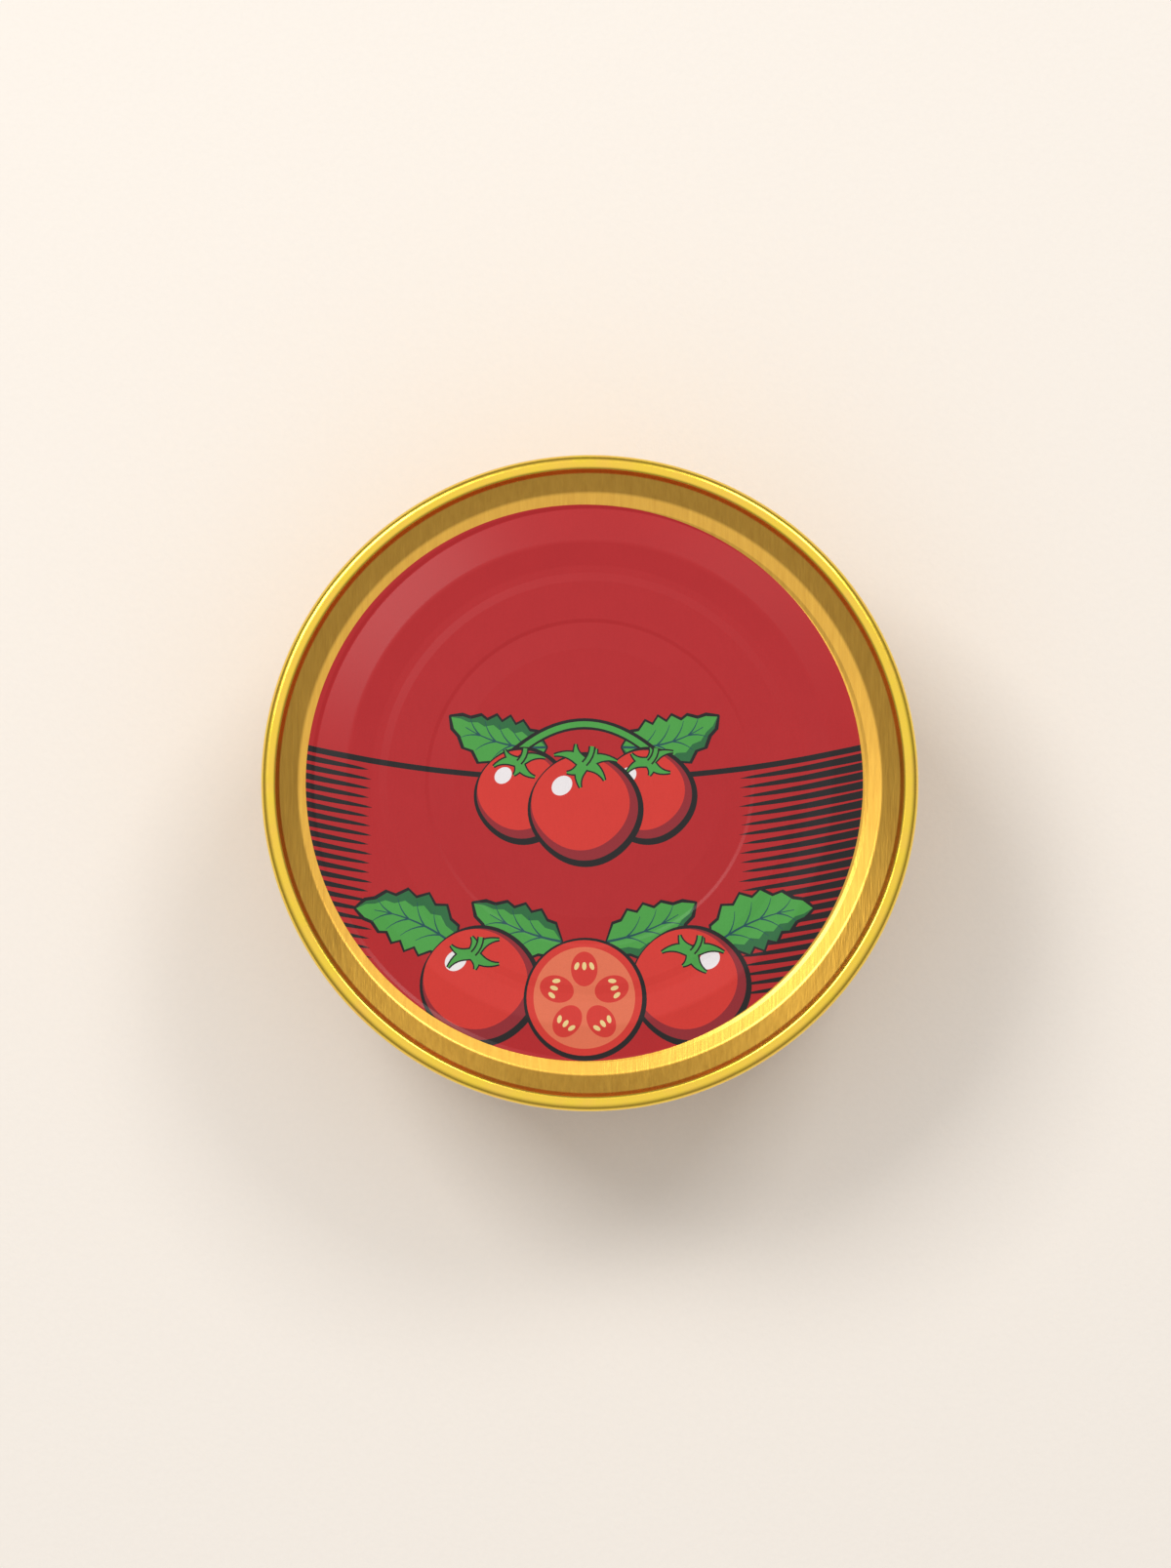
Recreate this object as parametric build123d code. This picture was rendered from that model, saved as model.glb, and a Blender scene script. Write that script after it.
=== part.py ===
"""Round shut food can, drawn body with a double-seamed end.

The origin is the middle of the ring that the can stands on, +Z is up, and all
sizes are in millimetres. Both pieces are turned about +Z from profiles in the
XZ plane. The end's profile is read from the seam inwards, one step after
another, and the body's top is the end's underside, so the two always fit.
"""
from build123d import *
import os

# Overall sizes
CAN_HEIGHT = 38.0        # from the resting ring to the top of the seam
BODY_DIAMETER = 83.2     # outside of the drawn wall

# Double seam, where the end's curl is rolled over the body's flange
SEAM_OVERHANG = 1.6      # how far it stands out from the wall
SEAM_HEIGHT = 3.0
SEAM_CROWN_WIDTH = 1.95  # smooth rim seen from above
CROWN_ROUND = 1.05       # its outer edge
CROWN_INNER_ROUND = 0.6
SEAM_FOOT_ROUND = 0.5

# End sheet
END_SHEET = 0.25

# Steps of the end from the seam inwards: how wide, and how far down or up
CHUCK_WALL_WIDTH = 0.35  # steep wall inside the seam
CHUCK_WALL_DROP = 1.3
CONE_WIDTH = 2.5         # brushed sloping wall
CONE_DROP = 1.55
LEDGE_WIDTH = 1.6        # flatter ring at the foot of the cone
LEDGE_DROP = 0.3
CREASE_WIDTH = 0.5       # tight valley round the panel
CREASE_DROP = 0.2
BAND_WIDTH = 4.3         # panel's outer band, which rises inwards
BAND_RISE = 0.8
BOWL_WIDTH = 3.2         # slope down inside the ridge
BOWL_DROP = 0.4
TERRACE_WIDTH = 1.0      # level strip that a fine groove ends
STEP_WIDTH = 1.1
STEP_RISE = 0.15
PLATEAU_WIDTH = 5.0      # broad level ring
GROOVE_WIDTH = 0.5       # fine groove between the plateau and the last ring
GROOVE_DROP = 0.12
RING_WIDTH = 3.4         # ring that rises to the flat centre
RING_RISE = 0.22

# Rounding of the steps of the end
CONE_HEAD_ROUND = 0.5
CONE_FOOT_ROUND = 1.2
CREASE_ROUND = 0.25
BAND_ROUND = 2.0
BOWL_ROUND = 3.0
FINE_ROUND = 0.5

# Drawn body and its base
WALL_CORNER_ROUND = 2.4  # between the wall and the shoulder above the base
SHOULDER_HEIGHT = 2.2    # height of the nested foot below the wall
SHOULDER_SLOPE = 0.35
FOOT_INSET = 1.3         # foot's outside, in from the wall, so that cans nest
FOOT_ROUND = 1.0
RESTING_RING_WIDTH = 2.2
BASE_RECESS_WIDTH = 1.4  # slope up from the resting ring to the base panel
BASE_RECESS_RISE = 1.0
BASE_BEAD_INSET = 9.0    # expansion bead, in from the edge of the base panel
BASE_BEAD_WIDTH = 2.6
BASE_BEAD_DROP = 0.45
BASE_ROUND = 0.8

BODY_RADIUS = BODY_DIAMETER / 2
SEAM_RADIUS = BODY_RADIUS + SEAM_OVERHANG
SEAM_FOOT_Z = CAN_HEIGHT - SEAM_HEIGHT


def end_steps():
    """Corners of the end's upper side, seam to centre: radius, height, rounding."""
    radius = SEAM_RADIUS - SEAM_CROWN_WIDTH
    height = CAN_HEIGHT
    steps = [
        (0, 0, CROWN_INNER_ROUND),
        (CHUCK_WALL_WIDTH, -CHUCK_WALL_DROP, CONE_HEAD_ROUND),
        (CONE_WIDTH, -CONE_DROP, CONE_FOOT_ROUND),
        (LEDGE_WIDTH, -LEDGE_DROP, CREASE_ROUND),
        (CREASE_WIDTH, -CREASE_DROP, CREASE_ROUND),
        (BAND_WIDTH, BAND_RISE, BAND_ROUND),
        (BOWL_WIDTH, -BOWL_DROP, BOWL_ROUND),
        (TERRACE_WIDTH, 0, FINE_ROUND),
        (STEP_WIDTH, STEP_RISE, FINE_ROUND),
        (PLATEAU_WIDTH, 0, FINE_ROUND),
        (GROOVE_WIDTH, -GROOVE_DROP, FINE_ROUND),
        (RING_WIDTH, RING_RISE, BAND_ROUND),
    ]
    corners = []
    for width, rise, rounding in steps:
        radius -= width
        height += rise
        corners.append((radius, height, rounding))
    return corners


def path(corners):
    """Line through corners of radius, height and rounding, rounded at all but its ends."""
    points = [(radius, height) for radius, height, _ in corners]
    roundings = [rounding for _, _, rounding in corners[1:-1]]
    return FilletPolyline(*points, radius=roundings)


def turned(lines):
    """Solid turned about +Z from a closed profile of radii and heights."""
    return revolve(Plane.XZ * make_face(lines), Axis.Z)


def underside():
    """Corners of the end's underside from the body's wall to the axis.

    It lies one sheet below the upper side, and runs straight from the ledge to
    the foot of the seam, where the body's flange is rolled in.
    """
    below = [(r, z - END_SHEET, rounding) for r, z, rounding in end_steps()[2:]]
    return [(BODY_RADIUS, SEAM_FOOT_Z, 0), *below, (0, below[-1][1], 0)]


def end():
    """Stamped end with its double seam."""
    steps = end_steps()
    upper = path([
        (BODY_RADIUS, SEAM_FOOT_Z, 0),
        (SEAM_RADIUS, SEAM_FOOT_Z, SEAM_FOOT_ROUND),
        (SEAM_RADIUS, CAN_HEIGHT, CROWN_ROUND),
        *steps,
        (0, steps[-1][1], 0),
    ])
    lower = path(underside())
    axis = Line(upper @ 1, lower @ 1)
    return turned([upper, axis, lower])


def base_corners():
    """Corners of the body from its wall's top down and in to the axis."""
    foot_radius = BODY_RADIUS - FOOT_INSET
    rest_radius = foot_radius - SHOULDER_SLOPE
    recess_radius = rest_radius - RESTING_RING_WIDTH
    panel_radius = recess_radius - BASE_RECESS_WIDTH
    bead_radius = panel_radius - BASE_BEAD_INSET
    bead_height = BASE_RECESS_RISE - BASE_BEAD_DROP
    return [
        (BODY_RADIUS, SEAM_FOOT_Z, 0),
        (BODY_RADIUS, SHOULDER_HEIGHT, WALL_CORNER_ROUND / 2),
        (foot_radius, SHOULDER_HEIGHT - FOOT_INSET / 2, FOOT_ROUND / 2),
        (rest_radius, 0, FOOT_ROUND),
        (recess_radius, 0, BASE_ROUND),
        (panel_radius, BASE_RECESS_RISE, BASE_ROUND),
        (bead_radius, BASE_RECESS_RISE, BASE_ROUND),
        (bead_radius - BASE_BEAD_WIDTH / 3, bead_height, BASE_ROUND),
        (bead_radius - BASE_BEAD_WIDTH * 2 / 3, bead_height, BASE_ROUND),
        (bead_radius - BASE_BEAD_WIDTH, BASE_RECESS_RISE, BASE_ROUND),
        (0, BASE_RECESS_RISE, 0),
    ]


def body():
    """Drawn body, shut and full, up to the end's underside."""
    outside = path(base_corners())
    top = path(underside())
    axis = Line(outside @ 1, top @ 1)
    return turned([outside, axis, top])


PIECES = {"can_body": body, "can_end": end}

os.makedirs("parts", exist_ok=True)
for node, make in PIECES.items():
    export_step(make(), f"parts/{node}.step")
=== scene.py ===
"""Shut round food can: a drawn gold-lacquered body and a double-seamed end with a printed panel."""
import math

import bpy
import numpy as np
from mathutils import Matrix, Vector
from mathutils.geometry import delaunay_2d_cdt


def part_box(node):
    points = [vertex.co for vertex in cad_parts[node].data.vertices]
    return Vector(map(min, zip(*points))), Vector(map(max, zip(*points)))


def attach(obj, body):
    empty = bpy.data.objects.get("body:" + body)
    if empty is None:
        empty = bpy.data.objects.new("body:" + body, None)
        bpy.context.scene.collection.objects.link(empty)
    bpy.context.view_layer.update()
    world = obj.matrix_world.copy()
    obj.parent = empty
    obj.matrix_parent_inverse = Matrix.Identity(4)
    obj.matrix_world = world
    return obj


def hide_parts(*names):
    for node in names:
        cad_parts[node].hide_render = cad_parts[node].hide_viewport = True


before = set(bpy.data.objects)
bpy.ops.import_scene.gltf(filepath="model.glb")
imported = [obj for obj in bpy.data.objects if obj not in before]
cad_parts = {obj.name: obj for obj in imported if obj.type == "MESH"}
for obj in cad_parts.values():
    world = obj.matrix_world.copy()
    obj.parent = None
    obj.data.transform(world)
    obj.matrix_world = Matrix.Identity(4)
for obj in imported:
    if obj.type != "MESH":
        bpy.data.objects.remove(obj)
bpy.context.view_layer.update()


# ---------------------------------------------------------------------------------------
# End. A stamped disc of gold-lacquered tinplate with a brushed cone and a ringed panel. Its
# rim is rolled into the double seam, whose crown is smooth and more lemon than the cone.
# Profiles are in millimetres from the can's axis and the surface that it stands on.
MM = 0.001
SEGMENTS = 320             # round the can
ARC_STEP = math.radians(6) # along a profile's rounded corners

SEAM_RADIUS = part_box("can_end")[1].x / MM
CAN_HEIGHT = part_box("can_end")[1].z / MM
BODY_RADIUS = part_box("can_body")[1].x / MM
# The body's box ends at the ridge under the panel, so this foot is 0.18 above the frame's.
SEAM_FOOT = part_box("can_body")[1].z / MM

END_SHEET = 0.25
CROWN_WIDTH = 1.95
CROWN_ROUND = 1.05
SEAM_FOOT_ROUND = 0.5
END_STEPS = [            # width inwards, rise, rounding of the corner that ends the step
    (0.0, 0.0, 0.6),     # crown's inner edge
    (0.35, -1.3, 0.5),   # chuck wall
    (2.5, -1.55, 1.2),   # cone
    (1.6, -0.3, 0.25),   # ledge
    (0.5, -0.2, 0.25),   # crease
    (4.3, 0.8, 2.0),     # panel's outer band
    (3.2, -0.4, 3.0),    # slope down inside the ridge
    (1.0, 0.0, 0.5),     # terrace
    (1.1, 0.15, 0.5),    # step
    (5.0, 0.0, 0.5),     # plateau
    (0.5, -0.12, 0.5),   # fine groove
    (3.4, 0.22, 2.0),    # ring that rises to the flat centre
]
CONE_FOOT = 2            # step whose corner is the cone's foot


def stepped(radius, height, steps):
    """Corners of a stepped profile that runs inwards: radius, height, rounding."""
    corners = []
    for width, rise, rounding in steps:
        radius -= width
        height += rise
        corners.append((radius, height, rounding))
    return corners


def outward(angle):
    """Normal on the right of a profile that runs at this angle."""
    return np.array((math.sin(angle), -math.cos(angle)))


def rounded(corners):
    """Points of a profile with its corners rounded, each with its angle before and after."""
    spots = np.array([corner[:2] for corner in corners])
    angles = [math.atan2(rise, run) for run, rise in np.diff(spots, axis=0)]
    points = [(spots[0], angles[0], angles[0])]
    for corner, before, after in zip(corners[1:-1], angles, angles[1:]):
        spot, rounding = np.array(corner[:2]), corner[2]
        turn = math.remainder(after - before, math.tau)
        if rounding == 0:
            points.append((spot, before, after))
            continue
        reach = rounding * math.tan(abs(turn) / 2)
        bend = math.copysign(rounding, turn)
        centre = spot - reach * np.array((math.cos(before), math.sin(before))) - bend * outward(before)
        parts = max(2, math.ceil(abs(turn) / ARC_STEP))
        for angle in before + turn * np.linspace(0, 1, parts + 1):
            points.append((centre + bend * outward(angle), angle, angle))
    points.append((spots[-1], angles[-1], angles[-1]))
    return points


def turned(name, profile):
    """Closed piece turned about the can's axis from a profile that starts and ends on it."""
    turns = np.arange(SEGMENTS) * math.tau / SEGMENTS
    around = np.column_stack((np.cos(turns), np.sin(turns)))
    rings = profile[1:-1]
    places = [np.column_stack((spot[0] * around, np.full(SEGMENTS, spot[1]))) for spot, _, _ in rings]
    poles = [(0.0, 0.0, spot[1]) for spot, _, _ in (profile[0], profile[-1])]
    first_pole, last_pole = len(rings) * SEGMENTS, len(rings) * SEGMENTS + 1
    faces, normals = [], []

    def add_face(*corners):
        faces.append([number for number, _, _ in corners])
        for _, angle, turn in corners:
            side, up = outward(angle)
            normals.append((side * math.cos(turn), side * math.sin(turn), up))

    for j, turn in enumerate(turns):
        after, turn_after = (j + 1) % SEGMENTS, turn + math.tau / SEGMENTS
        middle = (turn + turn_after) / 2
        start, end = rings[0][1], rings[-1][2]
        last = (len(rings) - 1) * SEGMENTS
        add_face((first_pole, start, middle), (after, start, turn_after), (j, start, turn))
        add_face((last_pole, end, middle), (last + j, end, turn), (last + after, end, turn_after))
        for k in range(len(rings) - 1):
            here, there = k * SEGMENTS, (k + 1) * SEGMENTS
            leaving, arriving = rings[k][2], rings[k + 1][1]
            add_face((here + j, leaving, turn), (here + after, leaving, turn_after),
                     (there + after, arriving, turn_after), (there + j, arriving, turn))
    mesh = bpy.data.meshes.new(name)
    mesh.from_pydata((np.vstack((*places, poles)) * MM).tolist(), [], faces, shade_flat=False)
    mesh.normals_split_custom_set(normals)
    piece = bpy.data.objects.new(name, mesh)
    bpy.context.scene.collection.objects.link(piece)
    return piece


class Value:
    """A node's output, on which plain arithmetic adds Math nodes."""

    def __init__(self, nodes, socket):
        self.nodes = nodes
        self.socket = socket

    def math(self, operation, *values):
        return self.nodes.node("Math", {"operation": operation}, dict(enumerate(values)))

    def __add__(self, other):
        return self.math("ADD", self, other)

    def __mul__(self, other):
        return self.math("MULTIPLY", self, other)

    __radd__ = __add__
    __rmul__ = __mul__


class Nodes:
    """The nodes of a material, or of the room."""

    def __init__(self, holder):
        holder.use_nodes = True
        self.tree = holder.node_tree

    def node(self, kind, settings=None, inputs=None, output=0):
        """One node: its settings, a ramp's two stops among them, then its inputs."""
        made = self.tree.nodes.new("ShaderNode" + kind)
        for setting, value in (settings or {}).items():
            if setting == "stops":
                for element, (position, colour) in zip(made.color_ramp.elements, value):
                    element.position, element.color = position, colour
            else:
                setattr(made, setting, value)
        for socket, value in (inputs or {}).items():
            self.feed(made.inputs[socket], value)
        return Value(self, made.outputs[output])

    def feed(self, socket, value):
        """Link a value to a socket, or set the socket to a constant."""
        if isinstance(value, Value):
            self.tree.links.new(value.socket, socket)
        else:
            socket.default_value = value


class Shader(Nodes):
    """A material whose constants are set on its Principled shader."""

    def __init__(self, name, **constants):
        self.material = bpy.data.materials.new(name)
        super().__init__(self.material)
        self.skin = self.tree.nodes["Principled BSDF"]
        for socket, value in constants.items():
            self.skin.inputs[socket.replace("_", " ")].default_value = value

    def set(self, **values):
        """Values or links of the Principled shader's sockets."""
        for socket, value in values.items():
            self.feed(self.skin.inputs[socket.replace("_", " ")], value)

    def place(self):
        """Point on the piece, in millimetres."""
        point = self.node("TexCoord", output="Object")
        return self.node("VectorMath", {"operation": "SCALE"}, {0: point, "Scale": 1 / MM})

    def stretched(self, point, scale, turn=0.0):
        """A point turned about the can's axis and scaled along each way."""
        return self.node("Mapping", {"vector_type": "POINT"},
                         {"Vector": point, "Rotation": (0.0, 0.0, turn), "Scale": scale})

    def noise(self, point, scale, detail=2.0, rough=0.5):
        """Noise from 0 to 1 with about this many bumps to the millimetre."""
        return self.node("TexNoise", None, {"Vector": point, "Scale": scale,
                                            "Detail": detail, "Roughness": rough})

    def between(self, share, low, high):
        """Colour or number between two, by a share from 0 to 1."""
        return self.node("Mix", {"data_type": "RGBA"}, {"Factor": share, 6: low, 7: high}, output=2)

    def bump(self, height, depth):
        """Normal of a surface with this relief, its depth in millimetres."""
        return self.node("Bump", None, {"Height": height, "Distance": depth * MM, "Strength": 1.0})


GRAIN_LEAN = math.radians(12)
GOLD = (0.94, 0.56, 0.085, 1)
GOLD_DEEP = (0.60, 0.30, 0.032, 1)
LEMON = (0.90, 0.68, 0.035, 1)


def rolled_gold(name):
    """Gold lacquer over rolled tinplate, whose fine straight grain shows through."""
    gold = Shader(name, Metallic=1.0, Coat_Roughness=0.2, Coat_IOR=1.5, Coat_Weight=0.5)
    point = gold.place()
    fine = gold.noise(gold.stretched(point, (4.0, 0.25, 1.0), GRAIN_LEAN), 1.0, 3.0, 0.65)
    broad = gold.noise(gold.stretched(point, (1.6, 0.12, 1.0), GRAIN_LEAN), 1.0, 2.0)
    cloudy = gold.noise(point, 0.12, 2.0)
    gold.set(Base_Color=gold.between(fine * 0.5 + broad * 0.5, GOLD_DEEP, GOLD),
             Roughness=0.24 + fine * 0.14 + cloudy * 0.06,
             Normal=gold.bump(fine * 0.7 + broad * 0.3, 0.03))
    return gold.material


def seam_gold(name):
    """The same lacquer where the seam has smoothed and stretched it."""
    gold = Shader(name, Metallic=1.0, Coat_Roughness=0.08, Coat_IOR=1.5, Coat_Weight=0.5)
    point = gold.place()
    ripple = gold.noise(point, 0.35, 1.0)
    fine = gold.noise(point, 3.0, 3.0)
    gold.set(Base_Color=gold.between(ripple, GOLD, LEMON),
             Roughness=0.16 + fine * 0.12,
             Normal=gold.bump(ripple, 0.05))
    return gold.material


end_corners = stepped(SEAM_RADIUS - CROWN_WIDTH, CAN_HEIGHT, END_STEPS)
panel_height = end_corners[-1][1]
end_top = rounded([(BODY_RADIUS, SEAM_FOOT, 0), (SEAM_RADIUS, SEAM_FOOT, SEAM_FOOT_ROUND),
                   (SEAM_RADIUS, CAN_HEIGHT, CROWN_ROUND), *end_corners, (0.0, panel_height, 0)])
below = [(r, z - END_SHEET, rounding) for r, z, rounding in reversed(end_corners[CONE_FOOT:])]
underside = rounded([(0.0, panel_height - END_SHEET, 0), *below, (BODY_RADIUS, SEAM_FOOT, 0)])

seam_foot_corner = (end_top[0][0], underside[-1][1], end_top[0][2])
can_end = turned("can_end_seamed", underside[:-1] + [seam_foot_corner] + end_top[1:])
for material in (rolled_gold("rolled_gold_lacquer"), seam_gold("seam_gold_lacquer")):
    can_end.data.materials.append(material)
crown_inner = SEAM_RADIUS - CROWN_WIDTH
for face in can_end.data.polygons:
    radius = math.hypot(face.center.x, face.center.y) / MM
    face.material_index = int(radius > crown_inner and face.center.z / MM > SEAM_FOOT - MM)
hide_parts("can_end")
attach(can_end, "root")


# ---------------------------------------------------------------------------------------
# Body. A cup drawn from the same gold-lacquered tinplate in one piece: a plain wall, a
# shoulder and a narrower foot that nests in the rim of the can below it, and a raised base
# panel with one expansion bead. It is full and shut, so it is closed under the end.
SHOULDER_HEIGHT = 2.2
SHOULDER_SLOPE = 0.35
FOOT_INSET = 1.3
WALL_CORNER_ROUND, FOOT_ROUND, BASE_ROUND = 2.4, 1.0, 0.8
RESTING_RING_WIDTH = 2.2
BASE_RECESS_WIDTH, BASE_RECESS_RISE = 1.4, 1.0
BEAD_INSET, BEAD_WIDTH, BEAD_DROP = 9.0, 2.6, 0.45

base_steps = [
    (0.0, 0.0, WALL_CORNER_ROUND / 2),
    (FOOT_INSET, -FOOT_INSET / 2, FOOT_ROUND / 2),
    (SHOULDER_SLOPE, FOOT_INSET / 2 - SHOULDER_HEIGHT, FOOT_ROUND),
    (RESTING_RING_WIDTH, 0.0, BASE_ROUND),
    (BASE_RECESS_WIDTH, BASE_RECESS_RISE, BASE_ROUND),
    (BEAD_INSET, 0.0, BASE_ROUND),
    (BEAD_WIDTH / 3, -BEAD_DROP, BASE_ROUND),
    (BEAD_WIDTH / 3, 0.0, BASE_ROUND),
    (BEAD_WIDTH / 3, BEAD_DROP, BASE_ROUND),
]
base_corners = stepped(BODY_RADIUS, SHOULDER_HEIGHT, base_steps)
outside = rounded([(0.0, BASE_RECESS_RISE, 0), *reversed(base_corners), (BODY_RADIUS, SEAM_FOOT, 0)])
shut_top = [(spot, after + math.pi, before + math.pi) for spot, before, after in reversed(underside)]


def drawn_gold(name):
    """Gold lacquer on the drawn wall, with the faint upright lines that drawing leaves."""
    gold = Shader(name, Metallic=1.0, Coat_Roughness=0.15, Coat_IOR=1.5, Coat_Weight=0.4)
    point = gold.place()
    lines = gold.noise(gold.stretched(point, (2.2, 2.2, 0.06)), 1.0, 3.0, 0.6)
    cloudy = gold.noise(point, 0.15, 2.0)
    gold.set(Base_Color=gold.between(lines * 0.6 + cloudy * 0.4, GOLD_DEEP, GOLD),
             Roughness=0.22 + lines * 0.12,
             Normal=gold.bump(lines, 0.012))
    return gold.material


wall_top = (outside[-1][0], outside[-1][1], shut_top[0][2])
can_body = turned("can_body_drawn", outside[:-1] + [wall_top] + shut_top[1:])
can_body.data.materials.append(drawn_gold("drawn_gold_lacquer"))
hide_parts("can_body")
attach(can_body, "root")


# ---------------------------------------------------------------------------------------
# Print. Inks rolled on to the flat sheet before it was stamped, so the film follows the
# panel's rings and lies a little off the can's middle, up on to the ledge at one side.
# Shapes are in millimetres from the print's middle and later ones cover earlier.
PRINT_RADIUS = 36.7
PRINT_SHIFT = (-0.72, 0.12)
PRINT_FILM = 0.02        # how far the ink stands above the lacquer
PRINT_BEYOND = 0.6       # how far lines run past the print's edge, which trims them
OUTLINE = 0.42           # black line round leaves
FRUIT_WOBBLE = 0.012

INKS = {
    "red_ground": (0.43, 0.014, 0.018),
    "ink_black": (0.012, 0.010, 0.011),
    "fruit_red": (0.62, 0.035, 0.026),
    "fruit_shade": (0.27, 0.018, 0.026),
    "fruit_flesh": (0.72, 0.16, 0.08),
    "leaf_green": (0.065, 0.33, 0.058),
    "leaf_shade": (0.022, 0.14, 0.045),
    "vein_blue": (0.012, 0.075, 0.085),
    "gleam_white": (0.80, 0.76, 0.78),
    "seed_cream": (0.78, 0.60, 0.26),
}
shapes = []


def paint(ink, outline):
    """Lay a shape over what is painted so far, its outline turned anticlockwise."""
    outline = np.asarray(outline, float)
    x, y = outline.T
    area = np.dot(x, np.roll(y, -1)) - np.dot(y, np.roll(x, -1))
    shapes.append((ink, (outline if area > 0 else outline[::-1]).tolist()))


def oval(x, y, wide, high, turn=0.0, wobble=0.0):
    """Outline of an oval, which wobble makes a little square."""
    angles = np.arange(64) * math.tau / 64
    swell = 1 + wobble * np.cos(4 * angles)
    across, up = wide * swell * np.cos(angles), high * swell * np.sin(angles)
    return np.column_stack((x + across * math.cos(turn) - up * math.sin(turn),
                            y + across * math.sin(turn) + up * math.cos(turn)))


def bent(start, end, bow, count=14):
    """Points from start to end on a curve that bows to the left by a share of its length."""
    start, end = np.array(start, float), np.array(end, float)
    along = np.linspace(0, 1, count)[:, None]
    left = np.array((start[1] - end[1], end[0] - start[0]))
    return start + (end - start) * along + left * bow * 4 * along * (1 - along)


def stroke(line, widths):
    """Outline of a line with a width at each point."""
    ways = np.gradient(line, axis=0)
    ways /= np.linalg.norm(ways, axis=1)[:, None]
    side = np.column_stack((-ways[:, 1], ways[:, 0])) * np.asarray(widths)[:, None] / 2
    return np.vstack((line + side, (line - side)[::-1]))


def leaf(start, end, width, bow, teeth=6):
    """Saw-edged leaf with its outline, a darker half and veins."""
    rib = bent(start, end, bow, 2 * teeth + 1)
    along = np.linspace(0, 1, len(rib))
    half = width / 2 * np.sin(math.pi * along ** 0.75) ** 0.8
    half[1::2] *= 1.14
    half[2:-1:2] *= 0.86
    rim = half + OUTLINE * 0.9
    rim[[0, -1]] = 0.12
    ways = np.gradient(rib, axis=0)
    ways /= np.linalg.norm(ways, axis=1)[:, None]
    tipped = rib + ways * np.linspace(-0.5, 0.9, len(rib))[:, None] * OUTLINE
    paint("ink_black", stroke(tipped, 2 * rim))
    inner = np.maximum(2 * half, 0.05)
    paint("leaf_green", stroke(rib, inner))
    left = np.column_stack((-ways[:, 1], ways[:, 0]))
    paint("leaf_shade", np.vstack((rib, (rib - left * inner[:, None] / 2)[::-1][1:-1])))
    paint("leaf_green", np.vstack((rib, (rib - left * inner[:, None] * 0.3)[::-1][1:-1])))
    paint("vein_blue", stroke(rib[:-2], np.linspace(0.34, 0.1, len(rib) - 2)))
    for k in range(2, len(rib) - 4, 2):
        for side in (1, -1):
            tip = rib[k + 2] + side * left[k] * half[k + 1] * 0.62
            paint("vein_blue", stroke(bent(rib[k], tip, -0.08 * side, 5), np.linspace(0.22, 0.06, 5)))


def tomato(x, y, radius, gleam=(-0.42, 0.42, 0.21)):
    """Round tomato: heavy outline below right, shaded crescent and a gleam."""
    paint("ink_black", oval(x + 0.18, y - 0.22, radius + 0.55, radius + 0.5, wobble=FRUIT_WOBBLE))
    paint("fruit_shade", oval(x, y, radius, radius * 0.98, wobble=FRUIT_WOBBLE))
    paint("fruit_red", oval(x - radius * 0.07, y + radius * 0.09,
                            radius * 0.915, radius * 0.88, wobble=FRUIT_WOBBLE))
    paint("gleam_white", oval(x + gleam[0] * radius, y + gleam[1] * radius,
                              gleam[2] * radius, gleam[2] * radius * 0.8, math.radians(40)))


def calyx(x, y, reach, arms=6, turn=0.3):
    """Green star of sepals with a stub of stalk."""
    sepals = []
    for arm in range(arms):
        angle = turn + arm * math.tau / arms
        length = reach * (0.85 + 0.2 * math.cos(2.3 * arm))
        tip = (x + length * math.cos(angle), y + length * 0.8 * math.sin(angle))
        sepals.append(bent((x, y), tip, 0.14 * (-1) ** arm, 9))
    widths = np.array((1.0, 1.15, 1.1, 0.95, 0.78, 0.6, 0.42, 0.25, 0.1)) * reach * 0.28
    for sepal in sepals:
        paint("ink_black", stroke(sepal, widths + 0.42))
    for sepal in sepals:
        paint("leaf_green", stroke(sepal, widths))
    stalk = bent((x, y), (x + reach * 0.25, y + reach * 0.55), -0.1, 5)
    paint("ink_black", stroke(stalk, np.full(5, 0.95)))
    paint("leaf_green", stroke(stalk, np.full(5, 0.5)))


def cut_tomato(x, y, radius, cells=5):
    """Tomato cut across: skin, flesh and cells of seeds."""
    paint("ink_black", oval(x + 0.12, y - 0.18, radius + 0.5, radius + 0.5))
    paint("fruit_red", oval(x, y, radius, radius))
    paint("fruit_flesh", oval(x, y, radius * 0.88, radius * 0.88))
    for cell in range(cells):
        angle = math.pi / 2 + cell * math.tau / cells
        middle = (x + 0.5 * radius * math.cos(angle), y + 0.5 * radius * math.sin(angle))
        paint("fruit_red", oval(*middle, radius * 0.30, radius * 0.23, angle))
        for side in (-1, 0, 1):
            seed = (middle[0] + radius * 0.13 * side * math.sin(angle) + 0.05 * radius * math.cos(angle),
                    middle[1] - radius * 0.13 * side * math.cos(angle) + 0.05 * radius * math.sin(angle))
            paint("seed_cream", oval(*seed, radius * 0.07, radius * 0.038, angle + side * 0.4))


paint("red_ground", oval(0, 0, PRINT_RADIUS + 1, PRINT_RADIUS + 1))

# A line that sags across the print, with engraver's hatching below it at both sides.
LINE_MIDDLE, LINE_END = 0.4, 4.6         # heights
LINE_WIDTH, LINE_SWELL = 0.66, 0.14      # width in the middle, and how much more at the ends
HATCH_PITCH = 1.235
HATCH_TIP_WIDTH = 0.03
HATCH_TAPER = 0.45
HATCH_POINTS = 12
HATCH_SIDES = (          # side, inner tip, stripes, greatest share of the pitch
    (-1, 28.2, 25, 0.65),
    (1, 20.6, 24, 0.80),
)


def line_height(x):
    """Height of the sagging line at this distance from the print's middle."""
    return LINE_MIDDLE + (LINE_END - LINE_MIDDLE) * (x / PRINT_RADIUS) ** 2


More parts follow.
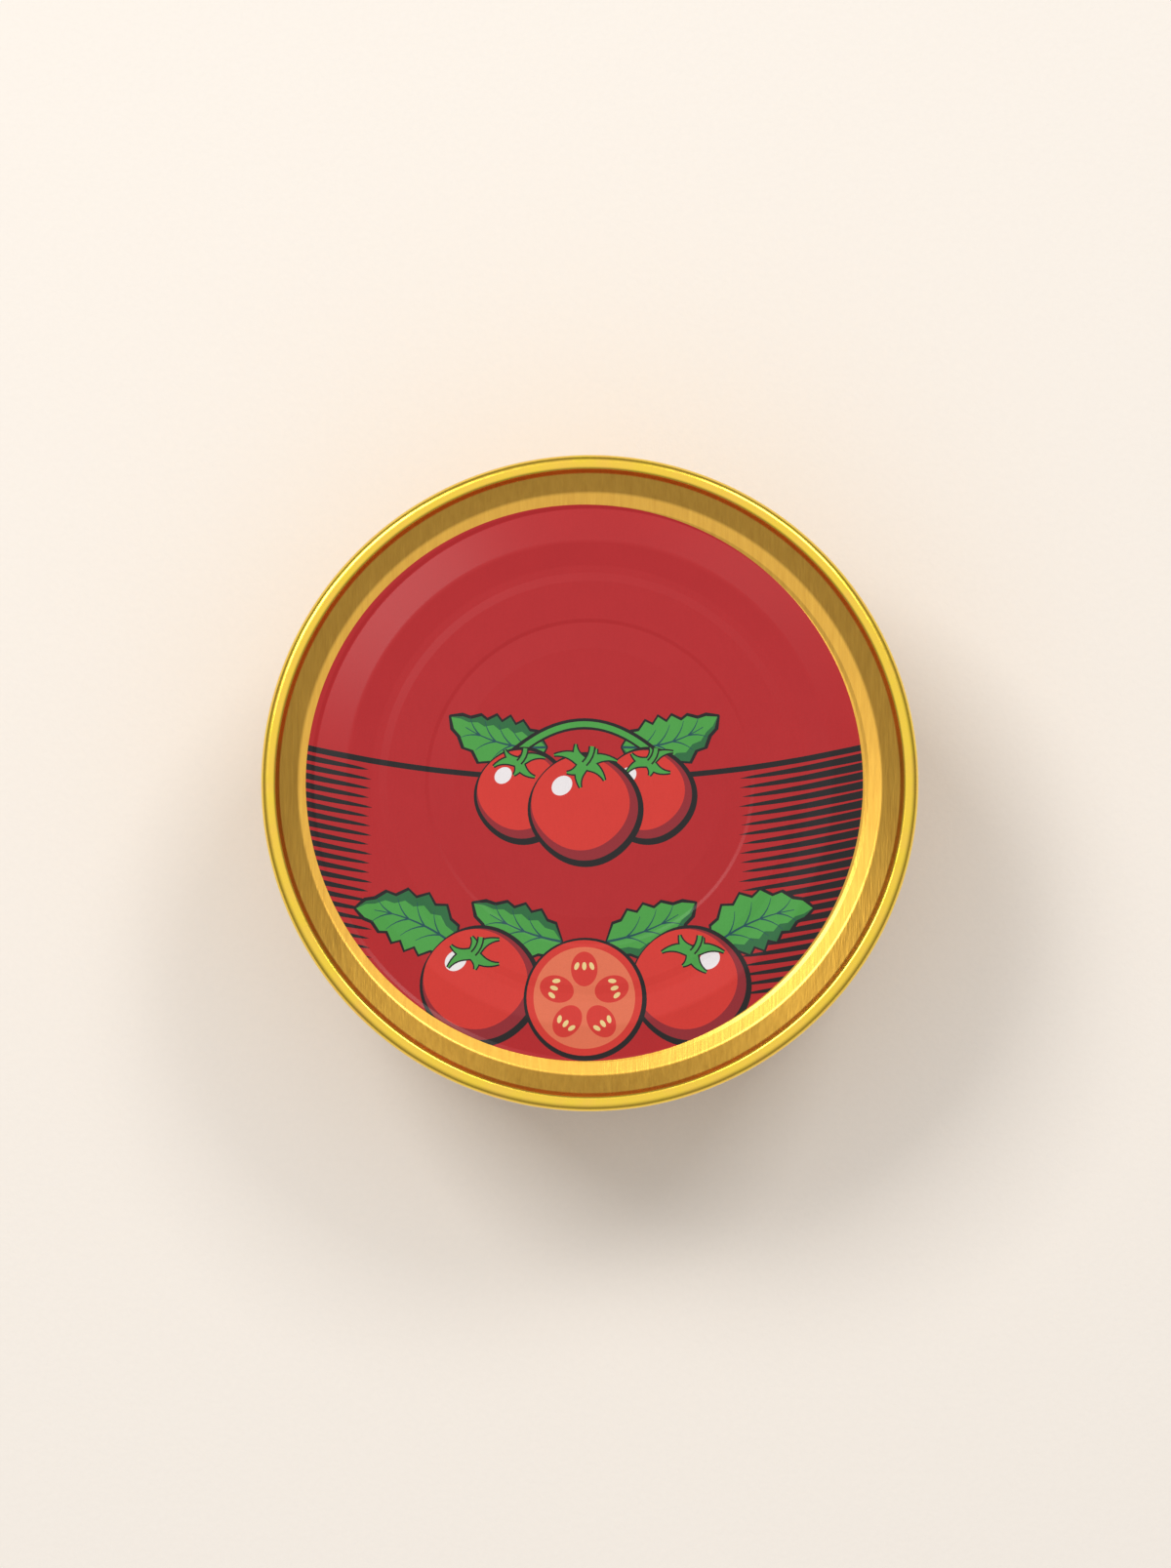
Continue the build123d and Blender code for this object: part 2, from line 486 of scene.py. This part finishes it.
across = np.linspace(-PRINT_RADIUS - PRINT_BEYOND, PRINT_RADIUS + PRINT_BEYOND, 41)
line_widths = LINE_WIDTH + LINE_SWELL * np.abs(across) / PRINT_RADIUS
paint("ink_black", stroke(np.column_stack((across, line_height(across))), line_widths))
for side, tip, stripes, share in HATCH_SIDES:
    for stripe in range(1, stripes + 1):
        jitter = 0.25 * math.sin(stripe * 2.4 + side)
        reach = np.linspace(tip + jitter, PRINT_RADIUS + PRINT_BEYOND, HATCH_POINTS)
        height = line_height(reach) - stripe * HATCH_PITCH
        grown = np.linspace(0, 1, HATCH_POINTS) ** HATCH_TAPER
        paint("ink_black", stroke(np.column_stack((side * reach, height)),
                                  HATCH_TIP_WIDTH + share * HATCH_PITCH * grown))

# Middle: three tomatoes on a vine between two leaves.
leaf((-5.0, 4.6), (-17.5, 8.6), 6.4, 0.10)
leaf((5.0, 4.6), (17.5, 8.6), 6.4, -0.10)
paint("ink_black", stroke(bent((-9.5, 3.5), (9.5, 3.5), 0.22, 21), np.full(21, 1.5)))
paint("leaf_green", stroke(bent((-9.2, 3.6), (9.2, 3.6), 0.22, 21), np.full(21, 0.75)))
tomato(-8.2, -1.6, 5.9)
tomato(8.2, -1.6, 5.9)
calyx(-8.6, 2.6, 3.4, turn=0.2)
calyx(8.6, 2.6, 3.4, turn=0.5)
tomato(0.0, -3.4, 7.0)
calyx(0.0, 2.4, 4.2, 7, 0.1)

# Foot of the print: a cut tomato between two whole ones, with leaves.
leaf((-17.0, -21.5), (-30.0, -16.6), 7.0, -0.08)
leaf((17.0, -21.5), (30.0, -16.6), 7.0, 0.08)
leaf((-3.0, -21.0), (-14.5, -16.0), 6.0, 0.06, 5)
leaf((3.0, -21.0), (14.5, -16.0), 6.0, -0.06, 5)
tomato(-13.8, -26.6, 7.4)
tomato(13.8, -26.6, 7.4, (0.36, 0.44, 0.20))
calyx(-14.6, -22.6, 4.0, 6, 0.6)
calyx(14.2, -22.4, 4.0, 6, 0.0)
cut_tomato(0.0, -28.4, 7.6)


def printed_film(name, colours):
    """Film over the panel: triangles between the shapes' outlines and the panel's rings."""
    top = [(spot, angle) for spot, _, angle in reversed(end_top)]
    radii = np.array([spot[0] for spot, _ in top])
    heights = np.array([spot[1] for spot, _ in top])
    slopes = np.array([math.tan(angle) for _, angle in top])
    shift = np.array(PRINT_SHIFT)
    turns = np.arange(SEGMENTS) * math.tau / SEGMENTS
    rim = PRINT_RADIUS * np.column_stack((np.cos(turns), np.sin(turns)))
    outlines = [("rim", rim)] + shapes
    points, polygons, edges = [], [], []
    for _, outline in outlines:
        polygons.append(list(range(len(points), len(points) + len(outline))))
        points += [Vector(point) + Vector(PRINT_SHIFT) for point in outline]
    reach = PRINT_RADIUS + np.hypot(*shift)
    for radius in sorted({round(radius, 4) for radius in radii if 0.1 < radius < reach + 1}):
        first = len(points)
        points += [Vector((radius * math.cos(turn), radius * math.sin(turn))) for turn in turns]
        edges += [(first + j, first + (j + 1) % SEGMENTS) for j in range(SEGMENTS)]
    flat, _, triangles, _, _, sources = delaunay_2d_cdt(points, edges, polygons, 0, 1e-5, True)
    kept = [(triangle, max(source)) for triangle, source in zip(triangles, sources) if 0 in source]
    flat = np.array([tuple(point) for point in flat])
    used = sorted({number for triangle, _ in kept for number in triangle})
    renumbered = {number: place for place, number in enumerate(used)}
    flat = flat[used]
    far = np.hypot(*flat.T)
    height = np.interp(far, radii, heights)
    slope = np.interp(far, radii, slopes)
    count = len(flat)
    upper = np.column_stack((flat, height + PRINT_FILM))
    lower = np.column_stack((flat, height - PRINT_FILM / 2))
    unit = flat / np.maximum(far, 1e-6)[:, None]
    normals = np.column_stack((-unit * slope[:, None], np.ones(count)))
    normals /= np.linalg.norm(normals, axis=1)[:, None]
    faces = [[renumbered[number] for number in triangle] for triangle, _ in kept]
    sides = {pair for face in faces for pair in zip(face, face[1:] + face[:1])}
    edge_sides = sorted((start, end) for start, end in sides if (end, start) not in sides)
    underneath = [[number + count for number in reversed(face)] for face in faces]
    walls = [[end, start, start + count, end + count] for start, end in edge_sides]
    mesh = bpy.data.meshes.new(name)
    mesh.from_pydata((np.vstack((upper, lower)) * MM).tolist(), [],
                     faces + underneath + walls, shade_flat=False)
    corner_normals = [tuple(normals[number]) for face in faces for number in face]
    corner_normals += [tuple(-normals[number - count]) for face in underneath for number in face]
    for start, end in edge_sides:
        out = (*((flat[start] - shift + flat[end] - shift) / 2 / PRINT_RADIUS), 0.0)
        corner_normals += [out] * 4
    mesh.normals_split_custom_set(corner_normals)
    names = list(colours)
    wears = [names.index(outlines[source][0]) if source else 0 for _, source in kept]
    mesh.polygons.foreach_set("material_index", wears + wears + [0] * len(walls))
    piece = bpy.data.objects.new(name, mesh)
    bpy.context.scene.collection.objects.link(piece)
    return piece


def printed_ink(name, colour):
    """Ink under clear varnish, with the fine speckle and grain of print on tinplate."""
    ink = Shader(name, Specular_IOR_Level=0.15,
                 Coat_Weight=0.18, Coat_Roughness=0.2, Coat_IOR=1.5)
    point = ink.place()
    speckle = ink.noise(point, 7.0, 2.0, 0.7)
    grain = ink.noise(ink.stretched(point, (5.0, 0.6, 1.0), GRAIN_LEAN), 1.0, 2.0)
    mottle = ink.noise(point, 0.25, 2.0)
    mix = speckle * 0.6 + grain * 0.2 + mottle * 0.2
    dark = tuple(0.84 * part for part in colour) + (1,)
    light = tuple(min(1.0, 1.16 * part + 0.006) for part in colour) + (1,)
    ink.set(Base_Color=ink.between(mix, dark, light),
            Roughness=0.34 + grain * 0.12,
            Normal=ink.bump(grain * 0.6 + speckle * 0.4, 0.004))
    return ink.material


end_print = printed_film("panel_print_film", INKS)
for ink, colour in INKS.items():
    end_print.data.materials.append(printed_ink(ink, colour))
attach(end_print, "root")


# ---------------------------------------------------------------------------------------
# Stage. A pale warm paper floor, two soft boxes above and behind, at the left and the
# right, a room that dims from overhead down to the floor, and a camera almost straight above.
PAPER_DARK, PAPER_LIGHT = (0.90, 0.845, 0.785, 1), (0.935, 0.88, 0.82, 1)


def paper(name):
    """Matt paper with a fine tooth."""
    sheet = Shader(name, Roughness=0.9, Specular_IOR_Level=0.2)
    point = sheet.place()
    tooth = sheet.noise(point, 1.2, 4.0, 0.6)
    sheet.set(Base_Color=sheet.between(tooth, PAPER_DARK, PAPER_LIGHT),
              Normal=sheet.bump(tooth, 0.04))
    return sheet.material


FLOOR_HALF = 1.6           # metres
floor_mesh = bpy.data.meshes.new("paper_floor")
floor_mesh.from_pydata([(-FLOOR_HALF, -FLOOR_HALF, 0), (FLOOR_HALF, -FLOOR_HALF, 0),
                        (FLOOR_HALF, FLOOR_HALF, 0), (-FLOOR_HALF, FLOOR_HALF, 0)], [], [(0, 1, 2, 3)])
floor = bpy.data.objects.new("paper_floor", floor_mesh)
bpy.context.scene.collection.objects.link(floor)
floor.data.materials.append(paper("warm_paper"))

target = Vector((-0.53, -0.27, CAN_HEIGHT)) * MM   # middle of the picture, at the seam's height
LAMP_COLOUR = (1.0, 0.985, 0.96)
LAMP_DISTANCE = 1.1


def aimed(thing, place, at):
    """Put a lamp or camera at a place, facing a point."""
    made = bpy.data.objects.new(thing.name, thing)
    made.location = place
    made.rotation_euler = (Vector(at) - Vector(place)).to_track_quat("-Z", "Y").to_euler()
    bpy.context.scene.collection.objects.link(made)
    return made


def soft_box(name, bearing, rise, size, watts):
    """Square lamp towards a bearing from +X, at a rise above the floor, in degrees."""
    lamp = bpy.data.lights.new(name, "AREA")
    lamp.shape = "RECTANGLE"
    lamp.size = lamp.size_y = size
    lamp.energy = watts
    lamp.color = LAMP_COLOUR
    bearing, rise = math.radians(bearing), math.radians(rise)
    way = Vector((math.cos(rise) * math.cos(bearing), math.cos(rise) * math.sin(bearing),
                  math.sin(rise)))
    return aimed(lamp, target + way * LAMP_DISTANCE, target)


soft_box("soft_box_left", bearing=135, rise=52, size=0.42, watts=4.7)
soft_box("soft_box_right", bearing=56, rise=50, size=0.32, watts=2.45)

ROOM_STOPS = (             # brightness of the room, by the upward part of the direction
    (0.45, (0.30, 0.296, 0.29, 1)),
    (1.0, (0.95, 0.936, 0.917, 1)),
)
world = bpy.data.worlds.new("room")
bpy.context.scene.world = world
room = Nodes(world)
direction = room.node("TexCoord", output="Generated")
upward = room.node("SeparateXYZ", None, {"Vector": direction}, output="Z")
backdrop = world.node_tree.nodes["Background"].inputs
room.feed(backdrop["Color"], room.node("ValToRGB", {"stops": ROOM_STOPS}, {"Fac": upward}))
room.feed(backdrop["Strength"], 1.0)

VIEW_HEIGHT = 0.2058       # what the long side of the picture spans at the seam
CAMERA_DISTANCE = 0.9
CAMERA_TILT = math.radians(3.0)
lens = bpy.data.cameras.new("camera")
lens.lens = lens.sensor_width * CAMERA_DISTANCE / VIEW_HEIGHT
lens.clip_start = 0.01
lean = Vector((0.2, -1.0, 0.0)).normalized()
back = lean * math.sin(CAMERA_TILT) + Vector((0.0, 0.0, math.cos(CAMERA_TILT)))
camera = aimed(lens, target + back * CAMERA_DISTANCE, target)
side = Vector((0.0, 1.0, 0.0)).cross(back).normalized()
camera.rotation_euler = Matrix((side, back.cross(side), back)).transposed().to_euler()
bpy.context.scene.camera = camera
bpy.context.scene.view_settings.view_transform = "Standard"
